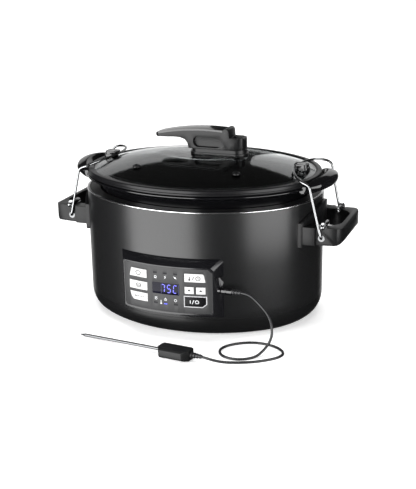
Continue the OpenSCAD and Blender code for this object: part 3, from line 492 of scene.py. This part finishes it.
# ---------------------------------------------------------------- side handles
for side in ("left", "right"):
    from_cad("handle_" + side, "side_grip_" + side, GRIP, "housing", bevel=1.0, steps=3, limit=30)
from_cad("handle_flanges", "side_plates", GRIP, "housing", bevel=0.9, steps=2)
from_cad("detent_pins", "latch_pins", CHROME, "housing", bevel=0.4, steps=2)

# ---------------------------------------------------------------- wire latches
LATCH = [(187.3, -57.7, 132.3), (179.2, -57.7, 165), (171.4, -57.7, 197.5), (170, -57.6, 202),
         (166.5, -56.6, 204.8), (158, -55, 208), (150, -47, 211.2), (142, -32, 213.8),
         (137.2, -15, 214.8), (136, 0, 215), (136.5, 18, 215), (139, 33, 215), (145, 46, 214.8),
         (153.5, 55, 214.2), (163, 59, 212.6), (170, 59.2, 209.4), (173, 58, 204),
         (174.2, 57.7, 197), (180.2, 57.7, 165), (187.3, 57.7, 132.3)]
for side, name in ((1, "right"), (-1, "left")):
    loop = soften(LATCH, 5)
    loop = [Vector((187.3, -46, 132.3)), Vector((187.3, -56.2, 132.3)), Vector((187.2, -57.3, 132.7))] \
        + loop[1:-1] + [Vector((187.2, 57.3, 132.7)), Vector((187.3, 56.2, 132.3)),
                        Vector((187.3, 46, 132.3))]
    wire("latch_wire_" + name, [(side * p.x, p.y, p.z) for p in loop], 3.4, CHROME, "latch_" + name,
         ("wire_latch_" + name,))

# ---------------------------------------------------------------- front panel
from_cad("panel_bezel", "bezel", PANEL, "housing", bevel=0.9, steps=3, limit=30, angle=25)
from_cad("panel_fascia", "fascia", FASCIA, "housing", bevel=0.3, steps=2)
from_cad("display_lens", "display_glass", DISPLAY, "housing", bevel=0.15, steps=2)
from_cad("power_button_rim", "power_rim", RING, "housing", bevel=0.15, steps=1)
from_cad("status_windows", "status_lenses", WINDOW, "housing", bevel=0.1, steps=1)
for key in ("cook", "warm", "probe", "timer", "down", "up"):
    from_cad("button_" + key, "key_cap_" + key, WHITE, "key_" + key, bevel=0.45, steps=3)
from_cad("button_power", "key_cap_power", KEY, "key_power", bevel=0.45, steps=3)


def marks(name, shapes, out, mat, body):
    """Printed marks: flat outlines in x and z, laid on the panel's curve."""
    verts, faces = [], []
    r = SIDE_R + out
    for shape in shapes:
        base = len(verts)
        verts += [(x, SIDE_C - math.sqrt(r * r - x * x), z) for x, z in shape]
        faces.append(list(range(base, base + len(shape))))
    return piece(name, verts, faces, mat, body)


def bar(x0, z0, x1, z1, w):
    """One straight stroke of width w."""
    d = Vector((x1 - x0, z1 - z0))
    n = Vector((-d.y, d.x)).normalized() * w / 2
    return [(x0 + n.x, z0 + n.y), (x0 - n.x, z0 - n.y), (x1 - n.x, z1 - n.y), (x1 + n.x, z1 + n.y)]


def path(points, w, closed=False):
    """Strokes from point to point."""
    pts = points + points[:1] if closed else points
    return [bar(*a, *b, w) for a, b in zip(pts, pts[1:])]


def ring(cx, cz, r, w, n=20):
    """A circle drawn as strokes."""
    pts = [(cx + r * math.cos(2 * math.pi * i / n), cz + r * math.sin(2 * math.pi * i / n))
           for i in range(n + 1)]
    return path(pts, w)


def disc(cx, cz, r, n=14):
    """A filled circle."""
    return [[(cx + r * math.cos(2 * math.pi * i / n), cz + r * math.sin(2 * math.pi * i / n))
             for i in range(n)]]


def pan(cx, cz, s):
    """A pot seen from the side, with its lid and two ears."""
    body = [(cx - 3.2 * s, cz + 1.2 * s), (cx - 2.7 * s, cz - 1.9 * s), (cx - 1.6 * s, cz - 2.6 * s),
            (cx + 1.6 * s, cz - 2.6 * s), (cx + 2.7 * s, cz - 1.9 * s), (cx + 3.2 * s, cz + 1.2 * s)]
    lid = [(cx - 3.4 * s, cz + 1.3 * s), (cx - 2 * s, cz + 2.4 * s), (cx + 2 * s, cz + 2.4 * s),
           (cx + 3.4 * s, cz + 1.3 * s)]
    return path(body, 0.9) + path(lid, 0.9) + [bar(cx - 4.4 * s, cz + 0.4 * s, cx - 3 * s, cz + 0.4 * s, 0.9),
                                              bar(cx + 3 * s, cz + 0.4 * s, cx + 4.4 * s, cz + 0.4 * s, 0.9)]


TOP = 12.5
marks("mark_cook", pan(-40.6, 90.6, 1.05), TOP, INK, "key_cook")
marks("mark_warm", pan(-40.6, 73, 1.05) + [bar(x, 73.6, x, 71.6, 0.8) for x in (-42.4, -40.6, -38.8)],
      TOP, INK, "key_warm")
marks("mark_probe", disc(-46, 57, 1.1) + [bar(-44.8 + 2.6 * k, 57, -43 + 2.6 * k, 57, 0.9) for k in range(5)],
      TOP, INK, "key_probe")
marks("mark_timer", [bar(34, 93.2, 34, 89.6, 1.2)] + disc(34, 89, 1.4) + [bar(37.4, 88.4, 40.4, 93.8, 0.8)]
      + ring(45.4, 91, 2.9, 0.9) + [bar(45.4, 91, 45.4, 92.8, 0.8), bar(45.4, 91, 46.8, 90.2, 0.8)],
      TOP, INK, "key_timer")
marks("mark_down", [[(31.0, 75.1), (35.6, 75.1), (33.3, 72.1)]], TOP, INK, "key_down")
marks("mark_up", [[(46.5, 72.4), (51.1, 72.4), (48.8, 75.4)]], TOP, INK, "key_up")
marks("mark_power", [bar(34.6, 55.6, 34.6, 60, 1.0), bar(37.2, 55, 39.6, 60.6, 0.9)]
      + ring(43.6, 57.8, 2.2, 1.0), TOP, PALE, "key_power")

SEGMENTS = {"a": (0, 2, 1, 2), "b": (1, 2, 1, 1), "c": (1, 1, 1, 0), "d": (0, 0, 1, 0), "e": (0, 1, 0, 0),
            "f": (0, 2, 0, 1), "g": (0, 1, 1, 1)}


def digit(lit, x, z, w=4.6, h=5.3, t=1.15):
    """A slanted seven-segment figure with the named segments lit."""
    out = []
    for s in lit:
        x0, z0, x1, z1 = SEGMENTS[s]
        p = Vector((x + w * x0 + 0.08 * h * z0, z + h * z0))
        q = Vector((x + w * x1 + 0.08 * h * z1, z + h * z1))
        d = (q - p).normalized()
        p, q, n = p + d * 0.35, q - d * 0.35, Vector((-d.y, d.x)) * t / 2
        out.append([tuple(v) for v in (p, p + d * t / 2 + n, q - d * t / 2 + n, q, q - d * t / 2 - n,
                                       p + d * t / 2 - n)])
    return out


marks("display_halo", [[(-6, 66.2), (19, 66.2), (19, 80.4), (-6, 80.4)]], 12.22, HALO, "housing")
marks("display_figures", digit("abc", -6.0, 68.4) + digit("acdfg", 2.6, 68.4) + digit("adef", 11.4, 68.4),
      12.3, LED, "housing")
small = ring(-14.2, 89.1, 1.5, 0.7, 12) + [bar(-16, 87.2, -12.4, 87.2, 0.7)] \
    + path([(1.0, 91.4), (-0.9, 89.9), (1.0, 89.2), (-0.9, 87.6)], 0.7) + disc(14.2, 90, 1.2) \
    + [bar(12.4, 91.6, 16, 88.4, 0.7)] + ring(-13.9, 57.9, 1.5, 0.7, 12) + [bar(-15.8, 60, -12, 60, 0.7)] \
    + [bar(-6.7, 52.6, -6.7, 56.4, 1.0)] + disc(-6.7, 51.8, 1.2) + ring(-0.1, 57.7, 1.6, 0.7, 12) \
    + [bar(-0.1, 57.7, -0.1, 60.4, 0.7)] + ring(14.2, 57.8, 1.7, 0.7, 12)
marks("fascia_symbols", small, 12.05, PALE, "housing")
marks("status_lit", [bar(-2.4, 51.9, 2.4, 51.9, 1.4)], 12.12, glowing("status_blue", (0.06, 0.07, 0.6), 0.9),
      "housing")

# ---------------------------------------------------------------- studio
floor_mesh = bpy.data.meshes.new("floor")
bm = bmesh.new()
bmesh.ops.create_grid(bm, x_segments=2, y_segments=2, size=60)
bm.to_mesh(floor_mesh)
bm.free()
floor = bpy.data.objects.new("floor", floor_mesh)
scene.collection.objects.link(floor)
paper = material("floor_paper", (0.88, 0.88, 0.88), 0.8, bump=0, vary=0.0, spec=0.0)
paper.node_tree.nodes["Principled BSDF"].inputs["Emission Color"].default_value = (1, 1, 1, 1)
paper.node_tree.nodes["Principled BSDF"].inputs["Emission Strength"].default_value = 0.40
floor_mesh.materials.append(paper)
floor.visible_glossy = False
floor.visible_shadow = False

world = bpy.data.worlds.new("world")
scene.world = world
world.use_nodes = True
wn, wl = world.node_tree.nodes, world.node_tree.links
seen = wn.new("ShaderNodeLightPath")
level = wn.new("ShaderNodeMapRange")
level.inputs["To Min"].default_value = 0.03
level.inputs["To Max"].default_value = 1.0
wl.new(seen.outputs["Is Camera Ray"], level.inputs["Value"])
wl.new(level.outputs["Result"], wn["Background"].inputs["Strength"])
wn["Background"].inputs["Color"].default_value = (1, 1, 1, 1)


def softbox(name, azimuth, dist, w, low, high, power):
    """A rectangular light on a stand, facing the object from azimuth (0 is the front, 90 the right)."""
    lamp = bpy.data.lights.new(name, "AREA")
    lamp.shape, lamp.size, lamp.size_y, lamp.energy = "RECTANGLE", w, high - low, power
    a = math.radians(azimuth)
    at = Vector((dist * math.sin(a), -dist * math.cos(a), (low + high) / 2))
    to = Vector((0, 0, at.z))
    obj = bpy.data.objects.new(name, lamp)
    obj.location = at
    obj.rotation_euler = (to - at).to_track_quat("-Z", "Y").to_euler()
    obj.visible_camera = False
    scene.collection.objects.link(obj)
    return obj


softbox("left_box", -27, 1.35, 1.45, -0.75, 0.95, 43)
softbox("right_box", 64, 1.35, 1.15, -0.22, 0.95, 20)
softbox("back_left", 219, 2.2, 1.5, -0.9, 1.35, 6.5)
softbox("back_right", 180, 2.2, 1.0, -0.9, 1.6, 5.5)
sun = bpy.data.lights.new("overhead", "SUN")
sun.energy, sun.angle = 3.0, math.radians(60)
sun_obj = bpy.data.objects.new("overhead", sun)
sun_obj.rotation_euler = (math.radians(-14), math.radians(-6), 0)
sun_obj.visible_glossy = False
sun_obj.visible_transmission = False
scene.collection.objects.link(sun_obj)
scene.view_settings.view_transform = "Standard"
